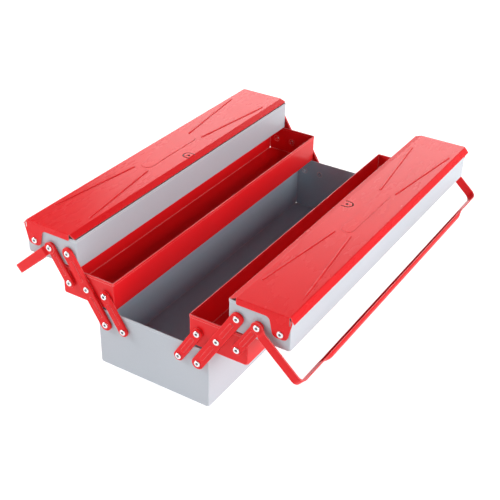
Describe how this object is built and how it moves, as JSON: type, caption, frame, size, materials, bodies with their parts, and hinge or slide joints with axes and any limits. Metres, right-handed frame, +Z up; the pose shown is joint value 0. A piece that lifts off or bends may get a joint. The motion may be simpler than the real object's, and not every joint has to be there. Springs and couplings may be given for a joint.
{
  "type": "cantilever toolbox",
  "caption": "Folded-metal toolbox with stepped trays that swing out on riveted links, hinged lids over the top trays, and drop handles.",
  "frame": {"origin": "centre of the bottom box's underside", "axes": "+Z up, +Y along the box, +X across it; the trays stand open at rest, lids closed and handles down on their stops"},
  "size_m": [0.4762, 0.5776, 0.1967],
  "materials": {
    "box_paint": "satin grey enamel on folded steel sheet",
    "top_tray_paint": "satin grey enamel on folded steel sheet",
    "middle_tray_paint": "satin red enamel on folded steel sheet",
    "lid_paint": "semi-gloss red enamel on folded steel sheet",
    "link_paint": "semi-gloss red enamel on stamped steel strip",
    "handle_paint": "semi-gloss red enamel on bent steel strip",
    "rivets": "bright zinc-plated steel"
  },
  "bodies": {
    "box": {"bottom_box": "box_paint", "box_rivets_right": "rivets", "box_rivets_left": "rivets"},
    "long_links_right": {"long_link_right_front": "link_paint", "long_link_right_back": "link_paint"},
    "lower_links_right": {"lower_link_right_front": "link_paint", "lower_link_right_back": "link_paint"},
    "upper_links_right": {"upper_link_right_front": "link_paint", "upper_link_right_back": "link_paint"},
    "middle_tray_right": {"middle_tray_right": "middle_tray_paint", "middle_tray_rivets_right": "rivets"},
    "top_tray_right": {"top_tray_right": "top_tray_paint", "top_tray_rivets_right": "rivets", "handle_rivets_right": "rivets", "lid_hinge_rivets_right": "rivets"},
    "lid_right": {"lid_right": "lid_paint"},
    "handle_right": {"handle_right": "handle_paint"},
    "long_links_left": {"long_link_left_front": "link_paint", "long_link_left_back": "link_paint"},
    "lower_links_left": {"lower_link_left_front": "link_paint", "lower_link_left_back": "link_paint"},
    "upper_links_left": {"upper_link_left_front": "link_paint", "upper_link_left_back": "link_paint"},
    "middle_tray_left": {"middle_tray_left": "middle_tray_paint", "middle_tray_rivets_left": "rivets"},
    "top_tray_left": {"top_tray_left": "top_tray_paint", "top_tray_rivets_left": "rivets", "handle_rivets_left": "rivets", "lid_hinge_rivets_left": "rivets"},
    "lid_left": {"lid_left": "lid_paint"},
    "handle_left": {"handle_left": "handle_paint"}
  },
  "joints": [
    {"name": "fold_right", "type": "hinge", "parent": "box", "child": "long_links_right", "pos_m": [0.077, 0, 0.071], "axis": [0, -1, 0], "range_deg": [0, 64]},
    {"name": "middle_tray_pivot_right", "type": "hinge", "parent": "long_links_right", "child": "middle_tray_right", "pos_m": [0.10668, 0, 0.11849], "axis": [0, -1, 0], "range_deg": [-64, 0]},
    {"name": "top_tray_pivot_right", "type": "hinge", "parent": "long_links_right", "child": "top_tray_right", "pos_m": [0.13635, 0, 0.16598], "axis": [0, -1, 0], "range_deg": [-64, 0]},
    {"name": "lower_link_pivot_right", "type": "hinge", "parent": "box", "child": "lower_links_right", "pos_m": [0.0465, 0, 0.071], "axis": [0, -1, 0], "range_deg": [0, 64]},
    {"name": "upper_link_pivot_right", "type": "hinge", "parent": "middle_tray_right", "child": "upper_links_right", "pos_m": [0.13718, 0, 0.11849], "axis": [0, -1, 0], "range_deg": [0, 64]},
    {"name": "lid_hinge_right", "type": "hinge", "parent": "top_tray_right", "child": "lid_right", "pos_m": [0.19735, 0, 0.16598], "axis": [0, 1, 0], "range_deg": [0, 105]},
    {"name": "handle_pivot_right", "type": "hinge", "parent": "top_tray_right", "child": "handle_right", "pos_m": [0.16685, 0, 0.16598], "axis": [0, -1, 0], "range_deg": [0, 159]},
    {"name": "fold_left", "type": "hinge", "parent": "box", "child": "long_links_left", "pos_m": [-0.077, 0, 0.071], "axis": [0, 1, 0], "range_deg": [0, 64]},
    {"name": "middle_tray_pivot_left", "type": "hinge", "parent": "long_links_left", "child": "middle_tray_left", "pos_m": [-0.10668, 0, 0.11849], "axis": [0, 1, 0], "range_deg": [-64, 0]},
    {"name": "top_tray_pivot_left", "type": "hinge", "parent": "long_links_left", "child": "top_tray_left", "pos_m": [-0.13635, 0, 0.16598], "axis": [0, 1, 0], "range_deg": [-64, 0]},
    {"name": "lower_link_pivot_left", "type": "hinge", "parent": "box", "child": "lower_links_left", "pos_m": [-0.0465, 0, 0.071], "axis": [0, 1, 0], "range_deg": [0, 64]},
    {"name": "upper_link_pivot_left", "type": "hinge", "parent": "middle_tray_left", "child": "upper_links_left", "pos_m": [-0.13718, 0, 0.11849], "axis": [0, 1, 0], "range_deg": [0, 64]},
    {"name": "lid_hinge_left", "type": "hinge", "parent": "top_tray_left", "child": "lid_left", "pos_m": [-0.19735, 0, 0.16598], "axis": [0, -1, 0], "range_deg": [0, 105]},
    {"name": "handle_pivot_left", "type": "hinge", "parent": "top_tray_left", "child": "handle_left", "pos_m": [-0.16685, 0, 0.16598], "axis": [0, 1, 0], "range_deg": [0, 159]}
  ],
  "couplings": [
    {"joint": "middle_tray_pivot_right", "follows": "fold_right", "ratio": -1},
    {"joint": "top_tray_pivot_right", "follows": "fold_right", "ratio": -1},
    {"joint": "lower_link_pivot_right", "follows": "fold_right", "ratio": 1},
    {"joint": "upper_link_pivot_right", "follows": "fold_right", "ratio": 1},
    {"joint": "middle_tray_pivot_left", "follows": "fold_left", "ratio": -1},
    {"joint": "top_tray_pivot_left", "follows": "fold_left", "ratio": -1},
    {"joint": "lower_link_pivot_left", "follows": "fold_left", "ratio": 1},
    {"joint": "upper_link_pivot_left", "follows": "fold_left", "ratio": 1}
  ]
}
